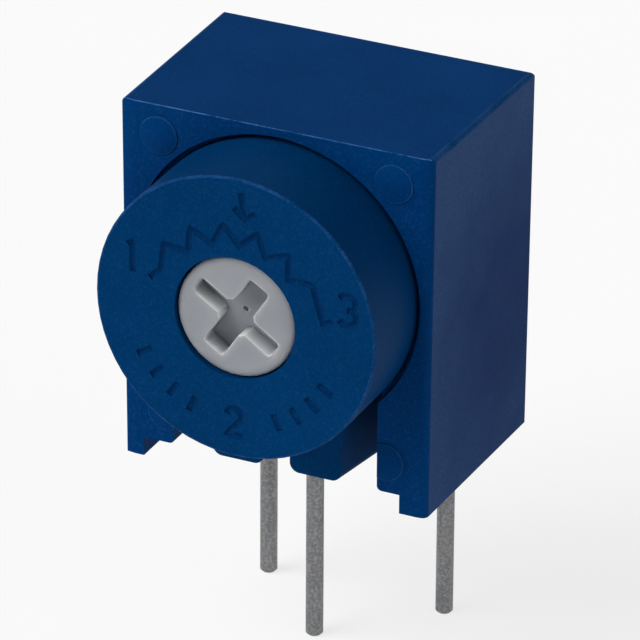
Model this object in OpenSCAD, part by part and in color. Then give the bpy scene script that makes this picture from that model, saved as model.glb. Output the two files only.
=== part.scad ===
// Single-turn trimmer potentiometer for side adjustment.
// A round sealed case with a screwdriver rotor sits in the socket of a square block,
// and three round leads are bent down from the back of the case to the circuit board.
// The board is the plane z = 0, and the origin is the middle of lead 2 on the board.
// The rotor faces -Y, and +X is to the right as seen from the front.

/* [Block] */
// Height of the block above the board
block_h = 9.9; // [9.8:0.05:11]
// Wall left beside the socket, by the block's width at the top of its front
side_wall = 0.42; // [0.3:0.01:1.5]
// Wall behind the lead chamber
back_wall = 0.65; // [0.5:0.05:2]
// Angle at which the sides lean in towards the foot
side_lean = 0.4; // [0:0.1:0.6]
// Angle at which the sides open towards the back
side_flare = 1; // [0:0.1:2]
// Width of the soft strips beside the front's upright edges
strip_w = 0.3; // [0.1:0.05:0.35]
// Depth to which the strips fall back
strip_fall = 0.05; // [0.01:0.01:0.1]
// Width of the left rail that stands on the board, without the lean of its side
rail_w = 0.56; // [0.4:0.02:0.9]
// Width of the right rail, without the lean of its side
rail_w_right = 0.8; // [0.4:0.02:0.9]
// Height of the rails
rail_h = 0.52; // [0.3:0.02:0.8]
// Rounding of the opening's lower corners
opening_r = 0.13; // [0.05:0.01:0.2]
// Radial clearance of the case in its socket
socket_gap = 0.02; // [0.01:0.01:0.1]
// Clearance beside the outer leads in the lead chamber
chamber_side_gap = 0.06; // [0.05:0.005:0.2]
// Clearance behind the outer leads in the lead chamber
chamber_back_gap = 0.1; // [0.05:0.01:0.5]

/* [Ejector marks] */
// Diameter of the round marks on the block's front
mark_d = 1.04; // [0.6:0.02:1.1]
// Height of the marks above the front
mark_rise = 0.04; // [0.01:0.01:0.1]
// Distance of the upper marks from the block's sides
mark_in = 1.04; // [0.85:0.01:1.1]
// Distance of the lower marks from the block's sides
mark_low_in = 1.21; // [0.85:0.01:1.3]
// Distance of the upper marks below the block's top
mark_top = 0.83; // [0.6:0.01:1]
// Height of the lower marks above the board
mark_low = 1.37; // [1.1:0.01:1.8]

/* [Case] */
// Diameter of the round case
case_d = 7.62; // [7.3:0.02:8.2]
// Height of the rotor's axis above the board
axis_h = 5.725; // [5.6:0.025:5.725]
// How far the case stands out of the block
case_proj = 2.31; // [0.5:0.01:2.8]
// Depth of the case in its socket
seat_depth = 2.0; // [1.9:0.05:2.5]
// Rounding of the case's front rim
rim_r = 0.06; // [0.04:0.01:0.2]
// Wall of the case round the ceramic disc
case_wall = 0.56; // [0.4:0.02:0.7]
// Ledge that the ceramic disc rests on
ledge_w = 0.25; // [0.15:0.05:0.35]
// Length of the hole that guides the rotor
guide_len = 2.1; // [1.95:0.05:2.2]

/* [Key lugs] */
// Width over both lugs at their front
lug_span = 3.58; // [3:0.02:4]
// Slot between the lugs
lug_slot = 0.74; // [0.5:0.02:1.2]
// Distance of the lugs behind the block's front
lug_inset = 0.1; // [0.05:0.05:0.5]
// Angle at which the outer sides open towards the back
lug_flare = 9; // [0:0.5:10]
// Height of the lugs above the board
lug_low = 0.44; // [0.3:0.02:1]
// Rounding of the lugs' lower edges
lug_r = 0.26; // [0.05:0.01:0.3]

/* [Rotor] */
// Diameter of the rotor's head
head_d = 3.2; // [3:0.02:3.4]
// Radial running clearance of the rotor in its hole
head_gap = 0.05; // [0.02:0.01:0.1]
// Distance of the head's face behind the case's face
head_inset = 0.06; // [0:0.01:0.2]
// Width of the head's rim, which falls away to the side
head_rim_w = 0.3; // [0.1:0.02:0.34]
// Depth to which the rim falls
head_rim_drop = 0.08; // [0.02:0.01:0.15]
// Length of the head in front of the sealing groove
head_len = 1.03; // [1:0.01:1.1]
// Width of the sealing groove
groove_w = 0.6; // [0.56:0.01:0.66]
// Depth of the sealing groove
groove_depth = 0.5; // [0.4:0.02:0.6]
// Thickness of the rotor's flange
flange_t = 0.45; // [0.3:0.05:0.5]
// Axial clearance in front of the flange
flange_gap = 0.03; // [0.01:0.01:0.1]

/* [Driver slot] */
// Angle of the wide arm and of the wiper, counted from +X as seen from the front
wiper_angle = 56.4; // [-40:0.1:220]
// Length of the wide arm
wide_len = 2.34; // [1.8:0.01:2.6]
// Width of the wide arm
wide_w = 0.64; // [0.4:0.01:0.8]
// Length of the narrow arm
narrow_len = 2.54; // [1.8:0.01:2.7]
// Width of the narrow arm
narrow_w = 0.5; // [0.4:0.01:0.8]
// Depth of the slot
slot_depth = 0.58; // [0.3:0.02:0.8]
// Radius of the round middle where the arms cross
cross_r = 0.5; // [0.42:0.02:0.6]
// Rounding of the slot's corners
slot_r = 0.1; // [0.05:0.01:0.18]
// Diameter of the dimple in the slot's floor
dimple_d = 0.16; // [0.1:0.01:0.3]
// Depth of the dimple
dimple_depth = 0.1; // [0.05:0.01:0.2]

/* [Travel] */
// Angle from one end stop to the other
travel = 280; // [240:5:300]
// Angle that the fixed stop in the case takes up
stop_angle = 50; // [20:1:55]
// Angle left between the tab and the stop at the two ends, in all
stop_gap = 1; // [0.5:0.1:3]
// Radial room for the stop between the flange and the case
stop_room = 0.55; // [0.5:0.01:0.7]
// Radial clearance round the tab and behind the stop
tab_gap = 0.08; // [0.05:0.01:0.15]

/* [Seal ring] */
// Thickness of the ring's cord
ring_t = 0.53; // [0.45:0.01:0.53]
// Clearance between the ring and the guide hole
ring_gap = 0.01; // [0.005:0.005:0.05]

/* [Wiper] */
// Thickness of the spring sheet
sheet_t = 0.1; // [0.05:0.01:0.15]
// Width of the bar that joins the fingers
bar_w = 0.5; // [0.4:0.05:0.7]
// Distance of the bar from the line of contact
finger_len = 0.8; // [0.6:0.05:0.9]
// Width of one finger
finger_w = 0.14; // [0.08:0.01:0.15]
// Distance from one finger to the next
finger_pitch = 0.2; // [0.18:0.01:0.22]
// Fingers that run on the resistive track
track_fingers = 3; // [1:1:3]
// Fingers that run on the collector
collector_fingers = 3; // [1:1:3]
// Gap drawn between a finger and what it runs on
contact_gap = 0.02; // [0.01:0.005:0.04]
// Diameter of the two stakes that hold the bar
stake_d = 0.3; // [0.2:0.02:0.36]
// Diameter of the stakes' flattened heads
stake_head_d = 0.44; // [0.38:0.02:0.5]
// Height of the stakes' flattened heads
stake_head_t = 0.08; // [0.04:0.01:0.12]

/* [Ceramic disc] */
// Thickness of the disc
disc_t = 0.64; // [0.5:0.02:0.8]
// Radial clearance of the disc in the case
disc_gap = 0.05; // [0.02:0.01:0.1]
// Free height between the wiper's bar and the disc
disc_space = 0.4; // [0.36:0.02:0.6]
// Thickness of the printed films
film_t = 0.03; // [0.02:0.01:0.05]
// Gap between the end pads and the track that they run round
pad_gap = 0.28; // [0.2:0.02:0.34]
// Width of the resistive track
track_w = 0.56; // [0.5:0.02:0.6]
// Angle that the resistive track covers
track_angle = 260; // [220:5:270]
// Gap between the track and the collector's middle
collector_gap = 0.62; // [0.4:0.02:0.8]
// Width of the collector's strip
collector_w = 0.6; // [0.4:0.05:0.8]
// Width of the end pads
pad_w = 0.66; // [0.6:0.02:0.7]

/* [Leads] */
// Step of the board's grid from lead 2 back to the outer leads
pitch = 2.54; // [2:0.01:4]
// Distance of the leads' middles inside the case's side
lead_inset = 1.27; // [1.2:0.01:1.4]
// Diameter of the leads where their tin coat is full
lead_d = 0.46; // [0.38:0.01:0.5]
// Thickness of the tin coat, which runs out from the board up to the bend
coat_t = 0.01; // [0.005:0.005:0.02]
// Length of the leads below the board plane
lead_len = 5.5; // [2:0.1:8]
// Radius of the leads' bends along their middle
bend_r = 0.4; // [0.3:0.02:0.6]
// Bevel of the leads' cut ends
lead_bevel = 0.06; // [0.02:0.01:0.1]
// How far the leads stand out in front of the ceramic disc
lead_nose = 0.12; // [0.1:0.01:0.16]
// Radial clearance of the leads in the ceramic disc
lead_hole_gap = 0.045; // [0.02:0.005:0.06]
// Diameter of a solder joint
solder_d = 0.9; // [0.7:0.02:0.94]
// Distance of the sealing compound from the case's back rim
seal_inset = 0.08; // [0.02:0.01:0.2]

/* [Hidden] */
$fn = 72;

// Overrun of a cut past the face that it opens.
cut = 1;
lead_r = lead_d / 2;
wire_r = lead_r - coat_t;
case_r = case_d / 2;

// Depths along Y, from the case's face to the outer leads.
seat_y = -bend_r;
block_front_y = seat_y - seat_depth;
case_front_y = block_front_y - case_proj;
outer_lead_y = pitch;
chamber_back_y = outer_lead_y + lead_r + chamber_back_gap;
block_back_y = chamber_back_y + back_wall;
head_y = case_front_y + head_inset;
groove_y = head_y + head_len;
guide_end_y = case_front_y + guide_len;
flange_y = guide_end_y + flange_gap;
bar_y = flange_y + flange_t;
disc_y = bar_y + sheet_t + disc_space;
film_y = disc_y - film_t;
disc_back_y = disc_y + disc_t;
seal_back_y = seat_y - seal_inset;

// Radii and widths round the rotor's axis.
guide_r = head_d / 2 + head_gap;
socket_r = case_r + socket_gap;
block_w = 2 * (socket_r + side_wall);
lead_circle_r = case_r - lead_inset;
chamber_half = lead_circle_r + lead_r + chamber_side_gap;
disc_seat_r = case_r - case_wall;
rotor_space_r = disc_seat_r - ledge_w;
flange_r = rotor_space_r - stop_room;
stop_r = flange_r + tab_gap;
tab_r = rotor_space_r - tab_gap;
tab_angle = 360 - travel - stop_angle - stop_gap;
groove_r = head_d / 2 - groove_depth;
ring_mean_r = guide_r - ring_gap - ring_t / 2;
track_r = lead_circle_r - pad_w / 2 - pad_gap - track_w / 2;
collector_r = track_r - track_w / 2 - collector_gap;

// The wiper's bar lies beside the line of contact, and the fingers end on that line.
bar_middle = -finger_len - bar_w / 2;
bar_inner_x = -collector_fingers * finger_pitch / 2;
bar_outer_x = track_r + track_fingers * finger_pitch / 2;
stake_inner_x = bar_inner_x + stake_head_d / 2;
stake_outer_x = bar_outer_x - stake_head_d / 2;

// Angles from +X as seen from the front: lead 3 on the right, lead 1 on the left, lead 2 below.
top_angle = 90;
lead_2_angle = -90;
track_end = top_angle - track_angle / 2;
pad_link_angle = 14;
pad_tip_angle = 11;

// Where each lead leaves the case, from the rotor's axis, and where it stands on the board.
lead_1_place = [-lead_circle_r, 0, outer_lead_y];
lead_2_place = [0, -lead_circle_r, 0];
lead_3_place = [lead_circle_r, 0, outer_lead_y];

blue = [0.02, 0.2, 0.42];
cream = [0.82, 0.83, 0.84];
tin = [0.6, 0.61, 0.62];

// Extrudes an outline drawn as seen from the front, centred on the rotor's axis.
module slab(front_y, back_y) {
    translate([0, back_y, axis_h])
        rotate([90, 0, 0])
            linear_extrude(back_y - front_y)
                children();
}

// Turns a profile of radius and depth round the rotor's axis.
module turned() {
    translate([0, 0, axis_h])
        rotate([-90, 0, 0])
            rotate_extrude()
                children();
}

// A ring sector of the given middle angle and width.
module sector(inner_r, outer_r, middle, width) {
    steps = 4;
    reach = 2 * outer_r;
    intersection() {
        difference() {
            circle(outer_r);
            circle(inner_r);
        }
        polygon(concat([[0, 0]], [
            for (i = [0 : steps])
                let (a = middle + width * (i / steps - 1 / 2))
                    reach * [cos(a), sin(a)]
        ]));
    }
}

// Points of a quarter round of radius r about [cx, cy], from angle a by 90 degrees.
function quarter(cx, cy, r, a, steps = 5) = [
    for (i = [0 : steps])
        let (b = a + 90 * i / steps)
            [cx + r * cos(b), cy + r * sin(b)]
];

// A bar with rounded corners, centred on the origin.
module rounded_bar(len, w, r) {
    square([len - 2 * r, w], center = true);
    square([len, w - 2 * r], center = true);
    for (x = [-1, 1], y = [-1, 1])
        translate([x * (len / 2 - r), y * (w / 2 - r)])
            circle(r, $fn = 24);
}

// The block: one moulding, open at the front and below, with a round socket for the case
// and a deeper chamber behind it that lets the leads down to the board.
module side_housing() {
    color(blue)
        difference() {
            union() {
                linear_extrude(block_h)
                    block_outline();
                ejector_marks();
            }
            side_waste();
            mirror([1, 0, 0])
                side_waste();
            underside();
            slab(block_front_y - cut, seat_y)
                circle(socket_r);
            slab(block_front_y - cut, chamber_back_y)
                union() {
                    circle(chamber_half);
                    translate([-chamber_half, -axis_h - cut])
                        square([2 * chamber_half, axis_h + cut]);
                    opening_corner();
                    mirror([1, 0])
                        opening_corner();
                }
        }
}

// The block from above, its front falling back in a strip at either end. It reaches past
// the sides, which are cut to their slant.
module block_outline() {
    strip_x = block_w / 2 - strip_w;
    end_x = block_w / 2 + cut;
    end_y = block_front_y + strip_fall * (end_x - strip_x) / strip_w;
    polygon([
        [-end_x, block_back_y],
        [-end_x, end_y],
        [-strip_x, block_front_y],
        [strip_x, block_front_y],
        [end_x, end_y],
        [end_x, block_back_y]
    ]);
}

// What lies outside the right side, which leans in downwards and opens backwards.
module side_waste() {
    translate([block_w / 2, block_front_y, block_h])
        rotate([0, side_lean, -side_flare])
            translate([0, -cut, -2 * block_h])
                cube([3 * cut, 2 * block_w, 3 * block_h]);
}

// The space under the block between its two rails and in front of its back wall.
module underside() {
    translate([rail_w - block_w / 2, block_front_y - cut, -cut])
        cube([
            block_w - rail_w - rail_w_right,
            chamber_back_y - block_front_y + cut,
            rail_h + cut
        ]);
}

// What the rounding takes off the right corner between the opening and the underside.
module opening_corner() {
    r = opening_r;
    x = chamber_half;
    y = rail_h - axis_h;
    polygon(concat(
        quarter(x + r, y + r, r, 180),
        [[x + r, y - r], [x - r, y - r], [x - r, y + r]]
    ));
}

// The round marks, which stand out a little from the front.
module ejector_marks() {
    upper = [block_w / 2 - mark_in, block_h - mark_top];
    lower = [block_w / 2 - mark_low_in, mark_low];
    for (side = [-1, 1], mark = [upper, lower])
        translate([side * mark[0], 0, mark[1] - axis_h])
            slab(block_front_y - mark_rise, block_front_y + cut / 4)
                circle(mark_d / 2, $fn = 48);
}

// The round case: a cup with the rotor's guide hole in its face, a ledge for the
// ceramic disc, a stop for the rotor's tab and two key lugs below.
module trimmer_case() {
    color(blue) {
        difference() {
            union() {
                turned()
                    polygon(concat(
                        [[0, case_front_y]],
                        quarter(case_r - rim_r, case_front_y + rim_r, rim_r, -90),
                        [[case_r, seat_y], [0, seat_y]]
                    ));
                key_lug();
                mirror([1, 0, 0])
                    key_lug();
            }
            turned()
                polygon([
                    [0, case_front_y - cut],
                    [guide_r, case_front_y - cut],
                    [guide_r, guide_end_y],
                    [rotor_space_r, guide_end_y],
                    [rotor_space_r, disc_y],
                    [disc_seat_r, disc_y],
                    [disc_seat_r, seat_y + cut],
                    [0, seat_y + cut]
                ]);
        }
        slab(guide_end_y - ledge_w, bar_y)
            sector(stop_r, rotor_space_r + ledge_w, lead_2_angle, stop_angle);
    }
}

// The lug to the right of the slot. Its outer side turns out by the flare angle.
module key_lug() {
    front_y = block_front_y + lug_inset;
    outer_x = lug_span / 2;
    width = (lug_span - lug_slot) / 2;
    intersection() {
        union() {
            translate([lug_slot / 2, front_y, 0])
                lug_bar(width - lug_r);
            translate([outer_x, front_y, 0])
                rotate([0, 0, -lug_flare])
                    translate([lug_r - width, 0, 0])
                        lug_bar(width - lug_r);
        }
        translate([0, front_y, 0])
            cube([case_r, seat_y - front_y, axis_h]);
    }
}

// An upright bar with rounded lower edges, as wide as w, that runs back from y = 0.
module lug_bar(w) {
    translate([0, case_d, 0])
        rotate([90, 0, 0])
            linear_extrude(case_d + cut)
                union() {
                    translate([0, lug_low + lug_r])
                        square([w, axis_h - rotor_space_r - lug_low - lug_r]);
                    translate([lug_r, lug_low])
                        square([w - 2 * lug_r, lug_r]);
                    for (x = [lug_r, w - lug_r])
                        translate([x, lug_low + lug_r])
                            circle(lug_r, $fn = 32);
                }
}

// The rotor: a head with a cross slot, a groove for the seal ring, a flange with the
// stop tab and two stakes that hold the wiper.
module rotor() {
    color(cream) {
        difference() {
            turned()
                polygon(concat(
                    [[0, head_y]],
                    rim_fall(),
                    [
                        [head_d / 2, groove_y],
                        [groove_r, groove_y],
                        [groove_r, groove_y + groove_w],
                        [head_d / 2, groove_y + groove_w],
                        [head_d / 2, flange_y],
                        [flange_r, flange_y],
                        [flange_r, bar_y],
                        [0, bar_y]
                    ]
                ));
            slab(head_y - cut, head_y + slot_depth)
                rotate(wiper_angle)
                    union() {
                        rounded_bar(wide_len, wide_w, slot_r);
                        rounded_bar(narrow_w, narrow_len, slot_r);
                        circle(cross_r, $fn = 48);
                    }
            slab(head_y, head_y + slot_depth + dimple_depth)
                circle(dimple_d / 2, $fn = 24);
        }
        slab(flange_y, bar_y)
            sector(groove_r, tab_r, wiper_angle, tab_angle);
        wiper_stakes();
    }
}

// Points of the head's rim: a quarter ellipse from its flat face to its side.
function rim_fall(steps = 6) = [
    for (i = [0 : steps])
        let (a = 90 * i / steps)
            [head_d / 2 - head_rim_w * (1 - sin(a)), head_y + head_rim_drop * (1 - cos(a))]
];

// Moves an outline to the wiper's own axes: +X out along the wiper, +Y against the clock.
module on_wiper() {
    rotate(wiper_angle)
        children();
}

module wiper_stakes() {
    for (x = [stake_inner_x, stake_outer_x]) {
        slab(flange_y, bar_y + sheet_t + stake_head_t)
            on_wiper()
                translate([x, bar_middle])
                    circle(stake_d / 2, $fn = 24);
        slab(bar_y + sheet_t, bar_y + sheet_t + stake_head_t)
            on_wiper()
                translate([x, bar_middle])
                    circle(stake_head_d / 2, $fn = 24);
    }
}

// The seal ring in the rotor's groove.
module o_ring() {
    color([0.12, 0.12, 0.12])
        turned()
            translate([ring_mean_r, groove_y + groove_w / 2])
                circle(ring_t / 2, $fn = 32);
}

// The wiper: one sheet stamped as a comb. Its bar lies on the rotor's flange, and its
// fingers bend back to the resistive track and to the collector.
module wiper_spring() {
    color([0.8, 0.72, 0.5]) {
        slab(bar_y, bar_y + sheet_t)
            on_wiper()
                difference() {
                    translate([bar_inner_x, bar_middle - bar_w / 2])
                        square([bar_outer_x - bar_inner_x, bar_w]);
                    for (x = [stake_inner_x, stake_outer_x])
                        translate([x, bar_middle])
                            circle(stake_d / 2, $fn = 24);
                }
        finger_row(track_r, track_fingers, film_y);
        finger_row(0, collector_fingers, film_y);
    }
}

// A row of fingers whose middle lies at the distance x out along the wiper.
module finger_row(x, count, contact_y) {
    for (i = [0 : count - 1])
        finger(x + (i - (count - 1) / 2) * finger_pitch, contact_y - contact_gap);
}

// One finger: flat at the bar, sloping to the contact and turned up at its tip.
module finger(x, contact_y) {
    tip = 0.14;
    flat = 0.12;
    tip_lift = 0.08;
    path = [
        [bar_middle, bar_y],
        [-finger_len + flat, bar_y],
        [-flat / 2, contact_y - sheet_t],
        [flat / 2, contact_y - sheet_t],
        [tip, contact_y - sheet_t - tip_lift]
    ];
    last = len(path) - 1;
    back = [for (i = [last : -1 : 0]) path[i] + [0, sheet_t]];
    translate([0, 0, axis_h])
        rotate([0, -wiper_angle, 0])
            translate([x + finger_w / 2, 0, 0])
                rotate([90, 0, -90])
                    linear_extrude(finger_w)
                        polygon([for (p = concat(path, back)) [-p[1], p[0]]]);
}

// The ceramic disc with three holes for the leads.
module ceramic_disc() {
    color([0.93, 0.92, 0.88])
        slab(disc_y, disc_back_y)
            difference() {
                circle(disc_seat_r - disc_gap);
                lead_holes();
            }
}

module lead_holes() {
    for (place = [lead_1_place, lead_2_place, lead_3_place])
        translate([place[0], place[1]])
            circle(wire_r + lead_hole_gap, $fn = 32);
}

// The resistive track: a horseshoe open towards lead 2.
module resistive_track() {
    color([0.1, 0.1, 0.1])
        slab(film_y, disc_y)
            sector(track_r - track_w / 2, track_r + track_w / 2, top_angle, track_angle);
}

// The collector: a round middle under the rotor's axis and a strip down to lead 2.
module collector_track() {
    color([0.75, 0.73, 0.7])
        slab(film_y, disc_y)
            difference() {
                union() {
                    circle(collector_r);
                    translate([-collector_w / 2, -lead_circle_r])
                        square([collector_w, lead_circle_r]);
                    translate([0, -lead_circle_r])
                        circle(solder_d / 2);
                }
                lead_holes();
            }
}

// An end pad: it starts at the end of the track and runs outside it up to a lead.
// The side is 1 for lead 3 on the right and -1 for lead 1 on the left.
module end_pad(side) {
    pad_outer_r = lead_circle_r + pad_w / 2;
    pad_inner_r = lead_circle_r - pad_w / 2;
    link_start = track_end - pad_link_angle;
    middle = (link_start + pad_tip_angle) / 2;
    color([0.75, 0.73, 0.7])
        slab(film_y, disc_y)
            mirror([side < 0 ? 1 : 0, 0])
                difference() {
                    union() {
                        sector(track_r - track_w / 2, pad_outer_r,
                            link_start + pad_link_angle / 2, pad_link_angle);
                        sector(pad_inner_r, pad_outer_r, middle, pad_tip_angle - link_start);
                        translate([lead_circle_r, 0])
                            circle(solder_d / 2);
                    }
                    lead_holes();
                }
}

module end_pad_1() {
    end_pad(-1);
}

module end_pad_3() {
    end_pad(1);
}

// A lead: straight back out of the case, a quarter bend and straight down.
// The place holds its X and Z from the rotor's axis and the Y where it stands.
module lead(place) {
    x = place[0];
    z = axis_h + place[1];
    stand_y = place[2];
    nose_y = disc_y - lead_nose;
    bend_y = stand_y - bend_r;
    bend_z = z - bend_r;
    color(tin) {
        translate([x, bend_y, z])
            rotate([90, 0, 0])
                cylinder(h = bend_y - nose_y, r = wire_r);
        translate([x, bend_y, bend_z])
            rotate([90, 0, 90])
                rotate_extrude(angle = 90)
                    translate([bend_r, 0])
                        circle(wire_r);
        translate([x, stand_y, 0])
            straight_run(bend_z);
    }
}

// The upright stretch of a lead: coated below the board, thinning up to top_z.
module straight_run(top_z) {
    rotate_extrude()
        polygon([
            [0, -lead_len],
            [lead_r - lead_bevel, -lead_len],
            [lead_r, lead_bevel - lead_len],
            [lead_r, 0],
            [wire_r, top_z],
            [0, top_z]
        ]);
}

module lead_1() {
    lead(lead_1_place);
}

module lead_2() {
    lead(lead_2_place);
}

module lead_3() {
    lead(lead_3_place);
}

// A fillet of solder between a lead and its pad.
module solder_joint(place) {
    foot = solder_d / 2;
    top = film_y - lead_nose;
    color([0.7, 0.71, 0.72])
        translate([place[0], 0, axis_h + place[1]])
            rotate([-90, 0, 0])
                rotate_extrude($fn = 48)
                    polygon([
                        [wire_r, film_y],
                        [foot, film_y],
                        [foot - lead_nose / 4, film_y - lead_nose / 4],
                        [(foot + wire_r) / 2, film_y - lead_nose * 2 / 3],
                        [wire_r, top + lead_nose / 4]
                    ]);
}

module solder_joint_1() {
    solder_joint(lead_1_place);
}

module solder_joint_2() {
    solder_joint(lead_2_place);
}

module solder_joint_3() {
    solder_joint(lead_3_place);
}

// The sealing compound that closes the back of the case round the leads.
module back_seal() {
    color([0.06, 0.07, 0.1])
        slab(disc_back_y, seal_back_y)
            difference() {
                circle(disc_seat_r);
                for (place = [lead_1_place, lead_2_place, lead_3_place])
                    translate([place[0], place[1]])
                        circle(wire_r);
            }
}

side_housing();
trimmer_case();
rotor();
o_ring();
wiper_spring();
ceramic_disc();
resistive_track();
collector_track();
end_pad_1();
end_pad_3();
lead_1();
lead_2();
lead_3();
solder_joint_1();
solder_joint_2();
solder_joint_3();
back_seal();
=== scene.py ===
"""Dresses a side-adjust trimmer potentiometer: a blue block with a round case set in it,
a pale rotor with a cross slot and three tinned leads. Lengths are metres."""

import math

import bmesh
import bpy
from mathutils import Matrix, Vector


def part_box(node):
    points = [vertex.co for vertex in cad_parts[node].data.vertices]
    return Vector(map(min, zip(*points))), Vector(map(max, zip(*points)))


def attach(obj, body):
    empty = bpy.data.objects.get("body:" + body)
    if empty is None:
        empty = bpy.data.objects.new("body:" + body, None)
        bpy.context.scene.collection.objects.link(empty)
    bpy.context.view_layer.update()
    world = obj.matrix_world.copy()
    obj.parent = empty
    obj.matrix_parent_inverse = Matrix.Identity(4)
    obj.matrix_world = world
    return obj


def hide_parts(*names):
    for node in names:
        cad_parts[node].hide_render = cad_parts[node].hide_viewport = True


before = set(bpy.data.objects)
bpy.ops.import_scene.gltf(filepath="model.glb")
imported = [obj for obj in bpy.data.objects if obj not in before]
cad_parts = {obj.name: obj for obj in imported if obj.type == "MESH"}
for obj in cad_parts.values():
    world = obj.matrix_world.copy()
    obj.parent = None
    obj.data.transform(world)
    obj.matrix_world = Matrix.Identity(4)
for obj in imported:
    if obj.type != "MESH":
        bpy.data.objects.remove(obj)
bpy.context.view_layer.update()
MM = 0.001


# The block is one moulding of deep blue nylon with a fine matte grain. It comes out of its
# tool with crisp edges; here its outer edges are rounded and painted paler, as painted
# highlights.


def pick(piece):
    """Selects one object alone and makes it the active one."""
    bpy.ops.object.select_all(action="DESELECT")
    bpy.context.view_layer.objects.active = piece
    piece.select_set(True)


def fresh_copy(node, name):
    """Copies a solid, merges its triangles into clean faces and leaves the copy active."""
    piece = bpy.data.objects.new(name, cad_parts[node].data.copy())
    bpy.context.scene.collection.objects.link(piece)
    pick(piece)
    piece.data.materials.clear()
    bpy.ops.mesh.customdata_custom_splitnormals_clear()
    bpy.ops.object.mode_set(mode="EDIT")
    bpy.ops.mesh.select_all(action="SELECT")
    bpy.ops.mesh.remove_doubles(threshold=0.0002 * MM)
    bpy.ops.mesh.dissolve_limited(angle_limit=math.radians(0.5))
    bpy.ops.object.mode_set(mode="OBJECT")
    return piece


def carve(piece, name, tool, tool_overlaps=False):
    """Cuts the shape of a tool out of a piece and takes the tool away."""
    pick(piece)
    cut = piece.modifiers.new(name, "BOOLEAN")
    cut.operation = "DIFFERENCE"
    cut.solver = "EXACT"
    cut.use_self = tool_overlaps
    cut.object = tool
    bpy.ops.object.modifier_apply(modifier=cut.name)
    bpy.data.objects.remove(tool)


def soften_edges(piece, width, slot, chosen, steps=3):
    """Rounds the outer edges that are chosen by their middle and their direction."""
    bpy.ops.object.mode_set(mode="EDIT")
    bpy.ops.mesh.select_mode(type="EDGE")
    bpy.ops.mesh.select_all(action="DESELECT")
    shape = bmesh.from_edit_mesh(piece.data)
    for edge in shape.edges:
        if len(edge.link_faces) == 2 and edge.calc_face_angle_signed() > math.radians(40):
            first, last = edge.verts[0].co, edge.verts[1].co
            edge.select = bool(chosen((first + last) / 2, last - first))
    shape.select_flush(True)
    bmesh.update_edit_mesh(piece.data)
    bpy.ops.mesh.bevel(
        offset=width, segments=steps, affect="EDGES", clamp_overlap=True, material=slot
    )
    bpy.ops.object.mode_set(mode="OBJECT")


def finish_shading(piece):
    """Smooths the round faces and keeps the flat ones flat."""
    pick(piece)
    bpy.ops.object.shade_smooth_by_angle(angle=math.radians(35))
    weighted = piece.modifiers.new("even_normals", "WEIGHTED_NORMAL")
    weighted.keep_sharp = True
    bpy.ops.object.modifier_apply(modifier=weighted.name)


def new_material(name, roughness, metallic=0.0, specular=0.5):
    """A Principled material, its nodes and its links."""
    material = bpy.data.materials.new(name)
    material.use_nodes = True
    nodes = material.node_tree.nodes
    shader = nodes["Principled BSDF"]
    shader.inputs["Roughness"].default_value = roughness
    shader.inputs["Metallic"].default_value = metallic
    shader.inputs["Specular IOR Level"].default_value = specular
    return material, nodes, material.node_tree.links


def object_place(tree):
    """The place of each point in the object, on which every pattern is laid."""
    return tree.nodes.new("ShaderNodeTexCoord").outputs["Object"]


def add_noise(tree, coordinates, scale, detail=2.0, stretch=(1, 1, 1)):
    """A noise texture on the given coordinates, which stretch may draw out."""
    mapping = tree.nodes.new("ShaderNodeMapping")
    mapping.inputs["Scale"].default_value = stretch
    noise = tree.nodes.new("ShaderNodeTexNoise")
    noise.inputs["Scale"].default_value = scale
    noise.inputs["Detail"].default_value = detail
    tree.links.new(coordinates, mapping.inputs["Vector"])
    tree.links.new(mapping.outputs["Vector"], noise.inputs["Vector"])
    return noise.outputs["Fac"]


def add_bump(tree, height, strength, distance):
    """Raises the surface of a material where the height is greater."""
    bump = tree.nodes.new("ShaderNodeBump")
    bump.inputs["Strength"].default_value = strength
    bump.inputs["Distance"].default_value = distance
    tree.links.new(height, bump.inputs["Height"])
    tree.links.new(bump.outputs["Normal"], tree.nodes["Principled BSDF"].inputs["Normal"])


def remap(tree, value, low, high, out_low=0.0, out_high=1.0):
    """Spreads the band from low to high of a value over another band."""
    node = tree.nodes.new("ShaderNodeMapRange")
    node.inputs["From Min"].default_value = low
    node.inputs["From Max"].default_value = high
    node.inputs["To Min"].default_value = out_low
    node.inputs["To Max"].default_value = out_high
    tree.links.new(value, node.inputs["Value"])
    return node.outputs["Result"]


def mix_colours(tree, factor, first, second):
    """Mixes two colours, each a plain colour or the output of a node."""
    node = tree.nodes.new("ShaderNodeMix")
    node.data_type = "RGBA"
    for socket, value in ((node.inputs["A"], first), (node.inputs["B"], second)):
        if isinstance(value, tuple):
            socket.default_value = (*value, 1)
        else:
            tree.links.new(value, socket)
    tree.links.new(factor, node.inputs["Factor"])
    return node.outputs["Result"]


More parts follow.
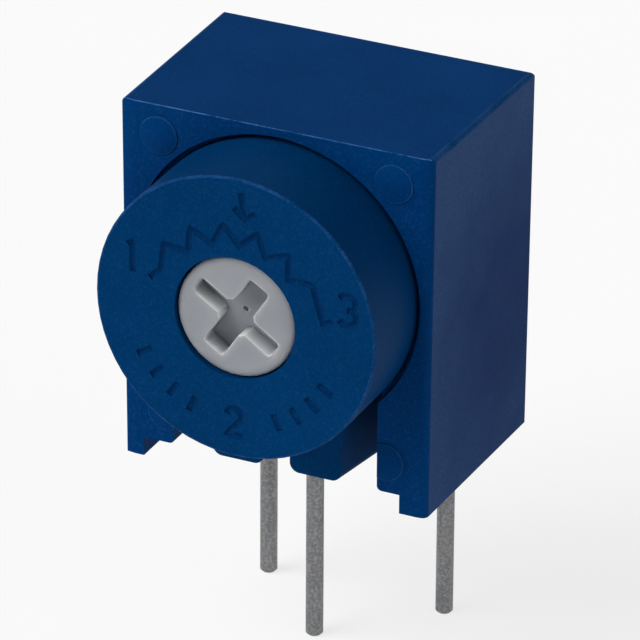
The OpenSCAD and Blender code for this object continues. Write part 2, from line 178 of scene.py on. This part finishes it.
def moulded_grain_group():
    """Moulded plastic: cloudy colour, a fine grain and sparse pale specks."""
    group = bpy.data.node_groups.new("moulded_grain", "ShaderNodeTree")
    for name in ("Colour", "Pale", "Dark"):
        group.interface.new_socket(name, in_out="INPUT", socket_type="NodeSocketColor")
    for name in ("Specks", "Cloud Scale"):
        group.interface.new_socket(name, in_out="INPUT", socket_type="NodeSocketFloat")
    group.interface.new_socket("Colour", in_out="OUTPUT", socket_type="NodeSocketColor")
    group.interface.new_socket("Roughness", in_out="OUTPUT", socket_type="NodeSocketFloat")
    group.interface.new_socket("Height", in_out="OUTPUT", socket_type="NodeSocketFloat")
    entry = group.nodes.new("NodeGroupInput")
    leave = group.nodes.new("NodeGroupOutput")
    place = object_place(group)
    clouds = add_noise(group, place, 320, 3)
    group.links.new(entry.outputs["Cloud Scale"], clouds.node.inputs["Scale"])
    grain = add_noise(group, place, 16000, 2)
    speck = add_noise(group, place, 9000, 0)
    shade = mix_colours(
        group, remap(group, clouds, 0.35, 0.65), entry.outputs["Dark"], entry.outputs["Colour"]
    )
    shade = mix_colours(
        group, remap(group, grain, 0.5, 0.72, 0, 0.35), shade, entry.outputs["Pale"]
    )
    sparse = group.nodes.new("ShaderNodeMath")
    sparse.operation = "MULTIPLY"
    group.links.new(remap(group, speck, 0.76, 0.8), sparse.inputs[0])
    group.links.new(entry.outputs["Specks"], sparse.inputs[1])
    shade = mix_colours(group, sparse.outputs[0], shade, entry.outputs["Pale"])
    group.links.new(shade, leave.inputs["Colour"])
    group.links.new(remap(group, grain, 0.3, 0.7, 0.5, 0.62), leave.inputs["Roughness"])
    group.links.new(grain, leave.inputs["Height"])
    return group


moulded_grain = moulded_grain_group()


def blue_plastic(name, colour, pale, dark, specks, cloud_scale=320):
    """Deep blue moulded plastic in the given three tones."""
    material, nodes, links = new_material(name, 0.55, specular=0.035)
    shader = nodes["Principled BSDF"]
    shader.inputs["Specular Tint"].default_value = (0.04, 0.45, 1, 1)
    grain = nodes.new("ShaderNodeGroup")
    grain.node_tree = moulded_grain
    grain.inputs["Colour"].default_value = (*colour, 1)
    grain.inputs["Pale"].default_value = (*pale, 1)
    grain.inputs["Dark"].default_value = (*dark, 1)
    grain.inputs["Specks"].default_value = specks
    grain.inputs["Cloud Scale"].default_value = cloud_scale
    links.new(grain.outputs["Colour"], shader.inputs["Base Color"])
    links.new(grain.outputs["Roughness"], shader.inputs["Roughness"])
    add_bump(material.node_tree, grain.outputs["Height"], 0.25, 0.012 * MM)
    return material


block_blue = blue_plastic(
    "block_blue", (0.0, 0.036, 0.148), (0.012, 0.075, 0.22), (0.0, 0.03, 0.128), 0.25
)
# Painted highlights: paler blues laid on the rounded edges, the palest on the top front edge.
crest_highlight_blue = blue_plastic(
    "crest_highlight_blue", (0.05, 0.145, 0.37), (0.12, 0.24, 0.5), (0.0, 0.045, 0.165), 0.3, 1900
)
edge_highlight_blue = blue_plastic(
    "edge_highlight_blue", (0.012, 0.06, 0.19), (0.035, 0.11, 0.28), (0.0, 0.04, 0.145), 0.2, 1500
)
# Painted shade: a near-black blue for the walls of the socket's mouth.
seam_shade_blue = blue_plastic(
    "seam_shade_blue", (0.0, 0.008, 0.035), (0.0, 0.014, 0.05), (0.0, 0.005, 0.025), 0.0
)
mark_rise = 0.04 * MM
block_low, block_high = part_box("side_housing")
front_y = block_low.y + mark_rise
axis_z = (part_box("o_ring")[0].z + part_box("o_ring")[1].z) / 2
socket_radius = (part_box("trimmer_case")[1].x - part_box("trimmer_case")[0].x) / 2 + 0.02 * MM


def side_shade_and_sheen():
    """The right side: the block's blue painted darker as painted shade, with a pale painted sheen
    that fades towards its middle.
    """
    material = blue_plastic(
        "side_shade_and_sheen", (0.0, 0.023, 0.11), (0.035, 0.075, 0.19), (0.0, 0.021, 0.102), 0.2
    )
    tree = material.node_tree
    nodes, links = tree.nodes, tree.links
    place = object_place(tree)
    # Painted sheen: a paler, greyer blue laid over the side, fading out round a point in its
    # middle, stands in for reflection.
    sheen_free_middle = (block_high.x, 2.3 * MM, 3.9 * MM)
    away = nodes.new("ShaderNodeVectorMath")
    away.operation = "DISTANCE"
    links.new(place, away.inputs[0])
    away.inputs[1].default_value = sheen_free_middle
    reach = remap(tree, away.outputs["Value"], 1.6 * MM, 5.6 * MM)
    uneven = remap(tree, add_noise(tree, place, 900, 4), 0.3, 0.7, -0.15, 0.15)
    painted_sheen = nodes.new("ShaderNodeMath")
    painted_sheen.operation = "ADD"
    painted_sheen.use_clamp = True
    links.new(reach, painted_sheen.inputs[0])
    links.new(uneven, painted_sheen.inputs[1])
    base_colour = nodes["Principled BSDF"].inputs["Base Color"]
    plain = base_colour.links[0].from_socket
    sheen_colour = mix_colours(
        tree, remap(tree, add_noise(tree, place, 16000, 2), 0.35, 0.68),
        (0.008, 0.041, 0.135), (0.03, 0.07, 0.18),
    )
    links.new(mix_colours(tree, painted_sheen.outputs[0], plain, sheen_colour), base_colour)
    return material


plain_slot, crest_highlight_slot, edge_highlight_slot, seam_shade_slot, shaded_side_slot = range(5)
block_shell = fresh_copy("side_housing", "block_shell")
for material in (block_blue, crest_highlight_blue, edge_highlight_blue, seam_shade_blue, side_shade_and_sheen()):
    block_shell.data.materials.append(material)

# The socket's mouth is a little wider than the rest of it, so a seam runs round the case; its
# walls are painted near black, as painted shade.
seam_width = 0.12 * MM
seam_depth = 0.25 * MM
seam_slack = 0.005 * MM
bpy.ops.object.select_all(action="DESELECT")
bpy.ops.mesh.primitive_cylinder_add(
    vertices=192,
    radius=socket_radius + seam_width,
    depth=2 * seam_depth,
    location=(0, front_y, axis_z),
    rotation=(math.radians(90), 0, 0),
)
carve(block_shell, "widen_mouth", bpy.context.object)
for face in block_shell.data.polygons:
    middle = face.center
    radius = math.hypot(middle.x, middle.z - axis_z)
    in_mouth = front_y + 0.02 * MM < middle.y < front_y + seam_depth + 0.02 * MM
    by_wall = socket_radius - 0.1 * MM < radius < socket_radius + seam_width + seam_slack
    # Painted shade on the walls of the mouth.
    if in_mouth and by_wall:
        face.material_index = seam_shade_slot
    elif face.normal.x > 0.99 and middle.x > block_high.x - 0.2 * MM:
        face.material_index = shaded_side_slot

# Wide rounds come before narrow ones, because a narrow round at a corner would pinch them.
wide_round = 0.13 * MM
upright_round = 0.035 * MM
crest_round = 0.038 * MM
mark_round = 0.03 * MM
upright_length = 9 * MM
behind_front = front_y + 0.2 * MM
# Each round below is painted a paler blue as a painted highlight, except the right front upright
# edge, which is turned back to the plain blue.
soften_edges(
    block_shell,
    wide_round,
    edge_highlight_slot,
    lambda p, way: p.z > block_high.z - 0.07 * MM and p.y > behind_front
    or abs(way.z) > upright_length and p.x > 0 and p.y < 0,
    steps=4,
)
for face in block_shell.data.polygons:
    middle = face.center
    right_front = middle.x > block_high.x - 0.4 * MM and middle.y < behind_front
    if face.material_index == edge_highlight_slot and right_front and middle.z < block_high.z - 0.2 * MM:
        face.material_index = plain_slot
soften_edges(
    block_shell,
    upright_round,
    edge_highlight_slot,
    lambda p, way: abs(way.z) > upright_length and (p.x < 0 or p.y > 0),
)
soften_edges(
    block_shell,
    crest_round,
    crest_highlight_slot,
    lambda p, way: p.z > block_high.z - 0.01 * MM and p.y < behind_front,
)
soften_edges(
    block_shell, mark_round, edge_highlight_slot, lambda p, way: p.y < block_low.y + 0.005 * MM, steps=2
)
finish_shading(block_shell)
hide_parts("side_housing")
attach(block_shell, "stator")


# The round case is moulded in the same blue. Its face carries the terminal numbers, the
# resistor's zigzag and the wiper's arrow, all pressed in with strokes of one round tool.

case_low, case_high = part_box("trimmer_case")
case_radius = (case_high.x - case_low.x) / 2
face_y = case_low.y
stroke_radius = 0.12 * MM
stroke_lift = 0.066 * MM
corner_reach = 0.09 * MM
mark_turn = math.radians(-4)


def on_face(radius, angle):
    """A point of the case's face from a radius in millimetres and an angle in degrees."""
    turn = math.radians(angle) + mark_turn
    return Vector((
        radius * MM * math.cos(turn),
        face_y - stroke_lift,
        axis_z + radius * MM * math.sin(turn),
    ))


def numeral(points, angle, radius, height, width):
    """Stands a numeral, drawn in a box of height 1, at a place on the face."""
    centre = on_face(radius, angle)
    return [centre + Vector((x * width * MM, 0, y * height * MM)) for x, y in points]


def arc_points(cx, cy, radius, start, end, steps=8):
    """Points of an arc, with angles in degrees."""
    return [
        (
            cx + radius * math.cos(math.radians(start + (end - start) * i / steps)),
            cy + radius * math.sin(math.radians(start + (end - start) * i / steps)),
        )
        for i in range(steps + 1)
    ]


zigzag_step = 10.7
zigzag_start = 90 + 5 * zigzag_step
zigzag_peak = 2.52
zigzag_dip = 2.0
zigzag = [
    on_face(zigzag_peak if i % 2 == 0 else zigzag_dip, zigzag_start - i * zigzag_step)
    for i in range(11)
]
left_tail = [on_face(2.4, 168.5), on_face(2.2, 159.5)]
right_tail = [on_face(2.44, 13), on_face(2.7, 14)]
one = [(-0.16, 0.36), (0, 0.5), (0, -0.5)]
two = arc_points(0, 0.22, 0.28, 170, -40) + [(-0.28, -0.5), (0.3, -0.5)]
three = arc_points(0, 0.24, 0.26, 150, -80) + arc_points(0, -0.24, 0.28, 80, -150)
lower_middle = -86
strokes = [
    left_tail + zigzag + right_tail,
    [on_face(3.46, 91), on_face(2.8, 88)],
    [on_face(3.02, 94), on_face(2.76, 88), on_face(3, 83)],
    numeral(one, 162, 3.0, 0.84, 0.84),
    numeral(two, lower_middle, 2.85, 0.74, 0.74),
    numeral(three, 20.2, 3.18, 0.8, 0.92),
]
tick_step = 12
for i in range(-5, 6):
    if abs(i) > 1:
        tick_angle = lower_middle + i * tick_step
        strokes.append([on_face(2.62, tick_angle), on_face(3.08, tick_angle)])


def keep_width(line):
    """Adds a point on each side of a corner, so that the bar keeps its width up to it."""
    points = [line[0]]
    for first, last in zip(line, line[1:]):
        way = last - first
        if way.length > 2.5 * corner_reach:
            step = way.normalized() * corner_reach
            points += [first + step, last - step]
        points.append(last)
    return points


def stroke_cutter(name, lines):
    """A round bar along each line, joined into one cutting mesh."""
    curve = bpy.data.curves.new(name, "CURVE")
    curve.dimensions = "3D"
    curve.bevel_depth = stroke_radius
    curve.bevel_resolution = 6
    curve.use_fill_caps = True
    for line in map(keep_width, lines):
        spline = curve.splines.new("POLY")
        spline.points.add(len(line) - 1)
        for point, place in zip(spline.points, line):
            point.co = (*place, 1)
    cutter = bpy.data.objects.new(name, curve)
    bpy.context.scene.collection.objects.link(cutter)
    pick(cutter)
    bpy.ops.object.convert(target="MESH")
    return bpy.context.object


case_blue = blue_plastic(
    "case_blue", (0.0, 0.034, 0.124), (0.008, 0.064, 0.18), (0.0, 0.029, 0.109), 0.2
)
# Painted shade: the pressed strokes take a darker blue than the face.
groove_shade_blue = blue_plastic(
    "groove_shade_blue", (0.0, 0.028, 0.108), (0.01, 0.06, 0.17), (0.0, 0.022, 0.09), 0.15
)
# Painted highlight: the face's outer rim takes a paler blue.
rim_highlight_blue = blue_plastic(
    "rim_highlight_blue", (0.008, 0.054, 0.18), (0.04, 0.12, 0.3), (0.0, 0.034, 0.124), 0.2, 2600
)
rim_highlight_slot, groove_shade_slot = 1, 2
case_shell = fresh_copy("trimmer_case", "case_shell")
for material in (case_blue, rim_highlight_blue, groove_shade_blue):
    case_shell.data.materials.append(material)
carve(case_shell, "press_marks", stroke_cutter("face_strokes", strokes), tool_overlaps=True)
rim_reach = 0.08 * MM
hole_reach = 1.75 * MM
groove_start = 0.002 * MM
for face in case_shell.data.polygons:
    middle = face.center
    radius = math.hypot(middle.x, middle.z - axis_z)
    if middle.y < face_y + rim_reach:
        if radius > case_radius - rim_reach:
            face.material_index = rim_highlight_slot
        elif radius > hole_reach and middle.y > face_y + groove_start:
            face.material_index = groove_shade_slot
finish_shading(case_shell)
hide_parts("trimmer_case")
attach(case_shell, "stator")


# The rotor is turned with a driver. It is moulded in natural white plastic, which lets a
# little light through into the walls of its slot. Those walls are also painted much paler than
# its face, as painted light, and darker towards the slot's floor, as painted shade.

rotor_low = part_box("rotor")[0]
slot_depth = 0.58 * MM
slot_reach = 1.35 * MM
slot_edge_round = 0.03 * MM


def translucent_white(name, dark, pale, deep=None):
    """White plastic with a little depth, which may darken to another tone towards the floor
    of the slot, as painted shade."""
    material, nodes, links = new_material(name, 0.45, specular=0.35)
    tree = material.node_tree
    shader = nodes["Principled BSDF"]
    shader.inputs["Subsurface Weight"].default_value = 0.9
    shader.inputs["Subsurface Radius"].default_value = (1.0, 0.9, 0.8)
    shader.inputs["Subsurface Scale"].default_value = 0.6 * MM
    place = object_place(tree)
    clouds = add_noise(tree, place, 700, 3)
    colour = mix_colours(tree, remap(tree, clouds, 0.35, 0.65), dark, pale)
    if deep:
        parts = nodes.new("ShaderNodeSeparateXYZ")
        links.new(place, parts.inputs["Vector"])
        floor_shade_fall = remap(tree, parts.outputs["Y"], rotor_low.y, rotor_low.y + slot_depth)
        colour = mix_colours(tree, floor_shade_fall, colour, deep)
    links.new(colour, shader.inputs["Base Color"])
    add_bump(tree, add_noise(tree, place, 9000, 2), 0.15, 0.01 * MM)
    return material


white_slot, lit_walls_slot = 0, 1
rotor_body = fresh_copy("rotor", "rotor_body")
rotor_body.data.materials.append(
    translucent_white("rotor_white", (0.285, 0.3, 0.325), (0.325, 0.34, 0.365))
)
# Painted light: the slot's walls take a white about twice as pale as the face's, with painted
# shade towards the slot's floor.
rotor_body.data.materials.append(
    translucent_white("slot_walls_lit_white", (0.62, 0.64, 0.66), (0.7, 0.71, 0.72), (0.33, 0.345, 0.365))
)
for face in rotor_body.data.polygons:
    middle = face.center
    in_slot = rotor_low.y + 0.01 * MM < middle.y < rotor_low.y + slot_depth - 0.01 * MM
    if in_slot and math.hypot(middle.x, middle.z - axis_z) < slot_reach:
        face.material_index = lit_walls_slot
soften_edges(
    rotor_body,
    slot_edge_round,
    white_slot,
    lambda p, way: p.y < rotor_low.y + 0.01 * MM
    and math.hypot(p.x, p.z - axis_z) < slot_reach,
)
finish_shading(rotor_body)
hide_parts("rotor")
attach(rotor_body, "rotor")


# The leads are soft copper wire with a dull dip of tin. Faint streaks run along them from
# the drawing, and the tin has set with a sandy grain.

tinned, nodes, links = new_material("tinned_copper", 0.42, metallic=1.0)
shader = nodes["Principled BSDF"]
tree = tinned.node_tree
place = object_place(tree)
streaks = add_noise(tree, place, 9000, 3, stretch=(1, 1, 0.08))
blotches = add_noise(tree, place, 1400, 2)
grain = add_noise(tree, place, 13000, 2)
drawn = mix_colours(
    tree, remap(tree, streaks, 0.3, 0.7), (0.165, 0.167, 0.171), (0.2, 0.202, 0.206)
)
links.new(
    mix_colours(tree, remap(tree, grain, 0.42, 0.68), drawn, (0.29, 0.292, 0.298)),
    shader.inputs["Base Color"],
)
links.new(remap(tree, blotches, 0.3, 0.7, 0.36, 0.52), shader.inputs["Roughness"])
add_bump(tree, grain, 0.3, 0.006 * MM)


def dress(node, material):
    """Gives a solid another finish."""
    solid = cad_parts[node]
    for slot in solid.material_slots:
        slot.material = material


for number in (1, 2, 3):
    dress(f"lead_{number}", tinned)


# Inside the case the rotor carries a wiper, a comb stamped from a thin gold-coloured spring
# alloy. Rolling has left fine streaks along the sheet.


def brushed_metal(name, low, high, roughness, stretch):
    """Metal whose fine streaks run along one axis."""
    material, nodes, links = new_material(name, roughness, metallic=1.0)
    tree = material.node_tree
    streaks = add_noise(tree, object_place(tree), 12000, 3, stretch=stretch)
    shader = nodes["Principled BSDF"]
    links.new(
        mix_colours(tree, remap(tree, streaks, 0.3, 0.7), low, high), shader.inputs["Base Color"]
    )
    links.new(
        remap(tree, streaks, 0.3, 0.7, roughness - 0.06, roughness + 0.08),
        shader.inputs["Roughness"],
    )
    return material


spring_sheet = brushed_metal(
    "spring_sheet", (0.5, 0.4, 0.2), (0.62, 0.5, 0.28), 0.28, (1, 1, 0.1)
)
dress("wiper_spring", spring_sheet)


# A black rubber ring in the rotor's groove keeps moisture out. Its moulded skin is dull and
# slightly dusty.


def dull_surface(name, low, high, roughness, scale, height):
    """A matte surface with a cloudy colour and a grain of the given height in millimetres."""
    material, nodes, links = new_material(name, roughness, specular=0.3)
    tree = material.node_tree
    clouds = add_noise(tree, object_place(tree), scale, 4)
    shader = nodes["Principled BSDF"]
    links.new(
        mix_colours(tree, remap(tree, clouds, 0.3, 0.7), low, high), shader.inputs["Base Color"]
    )
    add_bump(tree, clouds, 0.4, height * MM)
    return material


seal_rubber = dull_surface(
    "seal_rubber", (0.012, 0.012, 0.013), (0.03, 0.03, 0.032), 0.6, 4000, 0.008
)
dress("o_ring", seal_rubber)


# The ceramic disc is pressed from alumina powder and fired. It is chalky white, with the fine
# grain of the powder.

alumina = dull_surface("alumina", (0.76, 0.75, 0.71), (0.84, 0.83, 0.8), 0.7, 9000, 0.006)
dress("ceramic_disc", alumina)


# Its films are printed through a screen and fired: black resistive paste for the horseshoe,
# silver paste for the collector and the end pads.

resistive_paste = dull_surface(
    "resistive_paste", (0.018, 0.018, 0.02), (0.045, 0.045, 0.05), 0.45, 7000, 0.004
)
dress("resistive_track", resistive_paste)
silver_paste = brushed_metal("silver_paste", (0.5, 0.48, 0.44), (0.62, 0.6, 0.56), 0.4, (1, 1, 1))
for node in ("collector_track", "end_pad_1", "end_pad_3"):
    dress(node, silver_paste)


# Each lead is soldered to its film. The solder has wetted both and set with a soft, slightly
# grainy shine.

solder = brushed_metal("soft_solder", (0.42, 0.42, 0.43), (0.55, 0.55, 0.56), 0.32, (1, 1, 1))
for number in (1, 2, 3):
    dress(f"solder_joint_{number}", solder)


# Dark blue resin is poured over the back of the ceramic disc. It sets a little cloudy and
# seals the case.

cast_resin = dull_surface(
    "cast_resin", (0.006, 0.016, 0.05), (0.012, 0.028, 0.08), 0.35, 900, 0.02
)
dress("back_seal", cast_resin)


# The camera stands where the photograph's did: to the right, above and far off, with a
# long lens. Even light from the upper left fills the room, and the floor is plain white.

view_turn = math.radians(25.21)
view_rise = math.radians(26.62)
view_roll = math.radians(0.36)
view_distance = 157.3 * MM
view_aim = Vector((0, -2.4 * MM, 4.4625 * MM))
view_shift_right = 1.1175 * MM
view_shift_up = 0.1725 * MM
picture_width = 640
focal_pixels = 6315.7

back = Vector((
    math.sin(view_turn) * math.cos(view_rise),
    -math.cos(view_turn) * math.cos(view_rise),
    math.sin(view_rise),
))
level_right = Vector((math.cos(view_turn), math.sin(view_turn), 0))
level_up = back.cross(level_right)
right = level_right * math.cos(view_roll) + level_up * math.sin(view_roll)
up = level_up * math.cos(view_roll) - level_right * math.sin(view_roll)
lens = bpy.data.cameras.new("camera")
lens.sensor_width = 36
lens.lens = lens.sensor_width * focal_pixels / picture_width
lens.clip_start = 10 * MM
lens.clip_end = 10
camera = bpy.data.objects.new("camera", lens)
bpy.context.scene.collection.objects.link(camera)
camera.matrix_world = Matrix((
    (right.x, up.x, back.x, 0),
    (right.y, up.y, back.y, 0),
    (right.z, up.z, back.z, 0),
    (0, 0, 0, 1),
))
camera.location = (
    view_aim + back * view_distance + right * view_shift_right + up * view_shift_up
)
bpy.context.scene.camera = camera
bpy.context.scene.view_settings.view_transform = "Standard"

floor_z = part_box("lead_2")[0].z
floor_glow = 0.75
bpy.ops.object.select_all(action="DESELECT")
bpy.ops.mesh.primitive_plane_add(size=4, location=(0, 0, floor_z))
floor = bpy.context.object
floor.name = "floor"
floor_white, nodes, links = new_material("floor_white", 0.9, specular=0.0)
tree = floor_white.node_tree
clouds = add_noise(tree, object_place(tree), 40, 2)
links.new(
    mix_colours(tree, clouds, (0.965, 0.965, 0.965), (0.98, 0.98, 0.98)),
    nodes["Principled BSDF"].inputs["Base Color"],
)
glow = nodes.new("ShaderNodeEmission")
glow.inputs["Strength"].default_value = 1.0
path = nodes.new("ShaderNodeLightPath")
seen = path.outputs["Is Camera Ray"]
for kind in ("Is Glossy Ray", "Is Transmission Ray"):
    either = nodes.new("ShaderNodeMath")
    either.operation = "MAXIMUM"
    links.new(seen, either.inputs[0])
    links.new(path.outputs[kind], either.inputs[1])
    seen = either.outputs[0]
brighten = nodes.new("ShaderNodeMixShader")
links.new(remap(tree, seen, 0, 1, 0, floor_glow), brighten.inputs["Fac"])
links.new(nodes["Principled BSDF"].outputs["BSDF"], brighten.inputs[1])
links.new(glow.outputs["Emission"], brighten.inputs[2])
links.new(brighten.outputs["Shader"], nodes["Material Output"].inputs["Surface"])
floor.data.materials.append(floor_white)

# A low white wall far off closes the view level with the floor. It takes no light away.
wall_distance = 0.75
wall_height = 0.09
bpy.ops.object.select_all(action="DESELECT")
bpy.ops.mesh.primitive_cylinder_add(
    vertices=128,
    radius=wall_distance,
    depth=wall_height,
    end_fill_type="NOTHING",
    location=(0, 0, floor_z + wall_height / 2),
)
backdrop = bpy.context.object
backdrop.name = "backdrop"
bpy.ops.object.mode_set(mode="EDIT")
bpy.ops.mesh.select_all(action="SELECT")
bpy.ops.mesh.flip_normals()
bpy.ops.object.mode_set(mode="OBJECT")
bpy.ops.object.shade_smooth()
backdrop.data.materials.append(floor_white)
backdrop.visible_shadow = False
backdrop.visible_diffuse = False

room = bpy.data.worlds.new("room")
bpy.context.scene.world = room
room.use_nodes = True
room_light = room.node_tree.nodes["Background"]
room_light.inputs["Color"].default_value = (1, 1, 1, 1)
room_light.inputs["Strength"].default_value = 0.16


def soft_sun(name, toward, spread, strength):
    """Even light from one side, as from a wide window far off."""
    data = bpy.data.lights.new(name, "SUN")
    data.angle = math.radians(spread)
    data.energy = strength
    lamp = bpy.data.objects.new(name, data)
    bpy.context.scene.collection.objects.link(lamp)
    lamp.rotation_euler = Vector(toward).to_track_quat("Z", "Y").to_euler()
    return lamp


soft_sun("window", (-0.55, -0.5, 0.67), 50, 2.75)
soft_sun("far_wall", (0.92, -0.3, 0.05), 90, 1.05)
back_wall = soft_sun("back_wall", (-0.2, 0.98, 0.0), 60, 0.8)
back_wall.visible_glossy = False
